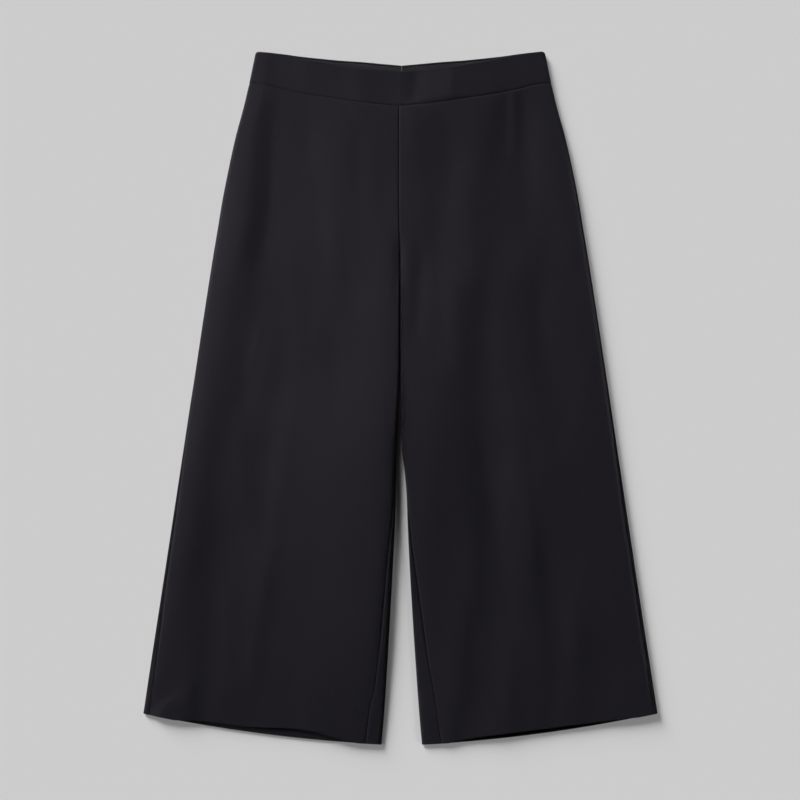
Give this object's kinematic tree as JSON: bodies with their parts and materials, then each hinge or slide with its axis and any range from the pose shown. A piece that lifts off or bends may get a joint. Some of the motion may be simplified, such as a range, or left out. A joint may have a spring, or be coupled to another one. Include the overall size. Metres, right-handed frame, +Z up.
{
  "type": "culottes",
  "caption": "Wide-legged cropped culottes with a shaped waistband, laid flat on their back with the legs slightly apart.",
  "frame": {"origin": "middle of the garment's outline, on the surface it lies on", "axes": "+Y from the hems to the waist, +Z up from the surface to the front of the garment, +X towards the wearer's left leg"},
  "size_m": [0.6553, 0.8837, 0.0075],
  "materials": {
    "black_suiting": "matt, very dark woven suiting with a slight violet cast",
    "band_facing": "matt, a little smoother than the outside",
    "zip_tape": "matt woven tape",
    "zip_metal": "black enamel"
  },
  "bodies": {
    "root": {"front_leg_right": "black_suiting", "front_leg_left": "black_suiting", "back_leg_right": "black_suiting", "back_leg_left": "black_suiting", "front_waistband": "black_suiting", "back_waistband_right": "black_suiting", "back_waistband_left": "black_suiting", "back_facing_right": "band_facing", "back_facing_left": "band_facing", "back_zip": "zip_tape", "zip_slider": "zip_metal"}
  },
  "joints": []
}
